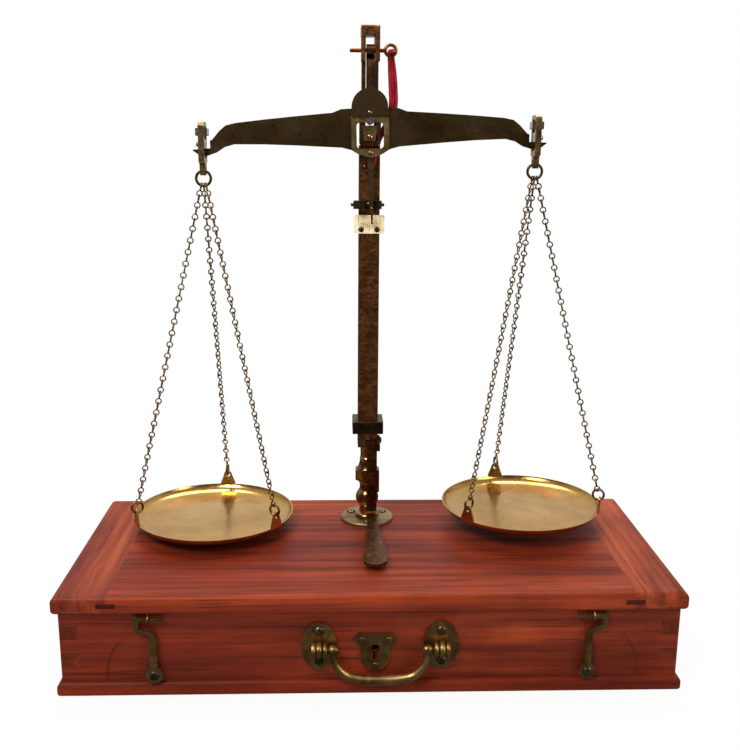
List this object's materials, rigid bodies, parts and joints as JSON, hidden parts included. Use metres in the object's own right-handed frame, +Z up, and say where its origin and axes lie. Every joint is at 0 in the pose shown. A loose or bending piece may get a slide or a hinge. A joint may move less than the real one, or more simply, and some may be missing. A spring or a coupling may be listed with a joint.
{
  "type": "dispensing beam balance",
  "caption": "Beam balance on a mahogany case, with a pillar, lifting lever, knife-edge beam and brass pans hung on chains.",
  "frame": {"origin": "on the underside of the case's base, below the middle of the lid", "axes": "X to the object's right as seen from the front, Y into the depth, Z up"},
  "size_m": [0.3602, 0.1665, 0.3789],
  "materials": {
    "mahogany": "satin",
    "case_brass": "satin",
    "lock_steel": "worn",
    "pillar_bronze": "mottled",
    "lever_brass": "mottled",
    "beam_bronze": "tarnished",
    "knife_steel": "bright",
    "ivory": "satin",
    "pan_brass": "polished",
    "cord_red": "silky"
  },
  "bodies": {
    "case": {"base_board": "mahogany", "front_board": "mahogany", "back_board": "mahogany", "side_board_left": "mahogany", "side_board_right": "mahogany", "lid_panel": "mahogany", "lid_battens": "mahogany", "lid_tongues": "mahogany", "hinge_leaves": "case_brass", "hinge_pins": "case_brass", "hinge_screws": "case_brass", "lock_case": "lock_steel", "escutcheon": "case_brass", "escutcheon_pins": "case_brass", "handle_plates": "case_brass", "case_screws": "case_brass", "screw_eyes": "case_brass", "base_flange": "pillar_bronze", "flange_screws": "lock_steel", "column": "pillar_bronze", "tube_collar": "pillar_bronze", "pillar_tube": "pillar_bronze", "lever_pin": "lock_steel", "pointer_guard": "pillar_bronze", "tube_screws": "lock_steel", "scale_plate": "ivory", "red_cord": "cord_red"},
    "bolt": {"lock_bolt": "case_brass"},
    "bail": {"handle_bail": "case_brass"},
    "left_hook": {"hook_left": "case_brass"},
    "right_hook": {"hook_right": "case_brass"},
    "lift": {"lift_rod": "pillar_bronze", "rod_head": "pillar_bronze", "suspension_pin": "pillar_bronze", "suspension_hook": "lever_brass", "bearing_block": "lever_brass", "bearing_screw": "lock_steel"},
    "lever_arm": {"lever": "lever_brass"},
    "rocking_beam": {"beam": "beam_bronze", "beam_cheek_front": "beam_bronze", "beam_cheek_rear": "beam_bronze", "cheek_screws": "lock_steel", "centre_knife": "knife_steel", "pointer": "beam_bronze", "end_knives": "knife_steel", "knife_screws": "lock_steel"},
    "left_stirrup": {"stirrup_left": "lever_brass", "stirrup_bearing_left": "knife_steel"},
    "left_pan": {"top_ring_left": "beam_bronze", "chains_left": "beam_bronze", "pan_rings_left": "beam_bronze", "pan_left": "pan_brass"},
    "right_stirrup": {"stirrup_right": "lever_brass", "stirrup_bearing_right": "knife_steel"},
    "right_pan": {"top_ring_right": "beam_bronze", "chains_right": "beam_bronze", "pan_rings_right": "beam_bronze", "pan_right": "pan_brass"}
  },
  "joints": [
    {"name": "lift_slide", "type": "slide", "parent": "case", "child": "lift", "axis": [0, 0, 1], "range_m": [0, 0.0035], "deforming": ["red_cord"]},
    {"name": "lever_turn", "type": "hinge", "parent": "case", "child": "lever_arm", "pos_m": [0.0074, 0.0435, 0.1181], "axis": [-1, 0, 0], "range_deg": [0, 18.1]},
    {"name": "beam_rock", "type": "hinge", "parent": "lift", "child": "rocking_beam", "pos_m": [0, 0.03, 0.3212], "axis": [0, 1, 0], "range_deg": [-1, 4]},
    {"name": "stirrup_left_turn", "type": "hinge", "parent": "rocking_beam", "child": "left_stirrup", "pos_m": [-0.10146, 0.03, 0.31434], "axis": [0, 1, 0], "range_deg": [-4.05, 1.05]},
    {"name": "pan_left_swing", "type": "hinge", "parent": "left_stirrup", "child": "left_pan", "pos_m": [-0.10146, 0.03, 0.29369], "axis": [1, 0, 0], "range_deg": [-2, 2]},
    {"name": "stirrup_right_turn", "type": "hinge", "parent": "rocking_beam", "child": "right_stirrup", "pos_m": [0.10168, 0.03, 0.31966], "axis": [0, 1, 0], "range_deg": [-4.05, 1.05]},
    {"name": "pan_right_swing", "type": "hinge", "parent": "right_stirrup", "child": "right_pan", "pos_m": [0.10168, 0.03, 0.29901], "axis": [1, 0, 0], "range_deg": [-2, 2]},
    {"name": "bail_swing", "type": "hinge", "parent": "case", "child": "bail", "pos_m": [0.0046, -0.0771, 0.0308], "axis": [-1, 0, 0], "range_deg": [0, 95]},
    {"name": "left_hook_turn", "type": "hinge", "parent": "case", "child": "left_hook", "pos_m": [-0.1243, -0.0744, 0.0144], "axis": [0, -1, 0], "range_deg": [0, 75]},
    {"name": "right_hook_turn", "type": "hinge", "parent": "case", "child": "right_hook", "pos_m": [0.1243, -0.0744, 0.0144], "axis": [0, 1, 0], "range_deg": [0, 75]},
    {"name": "bolt_slide", "type": "slide", "parent": "case", "child": "bolt", "axis": [0, 0, 1], "range_m": [0, 0.004]}
  ],
  "couplings": [
    {"joint": "lever_turn", "follows": "lift_slide", "rad_per_m": 90},
    {"joint": "stirrup_left_turn", "follows": "beam_rock", "ratio": -1},
    {"joint": "stirrup_right_turn", "follows": "beam_rock", "ratio": -1}
  ]
}
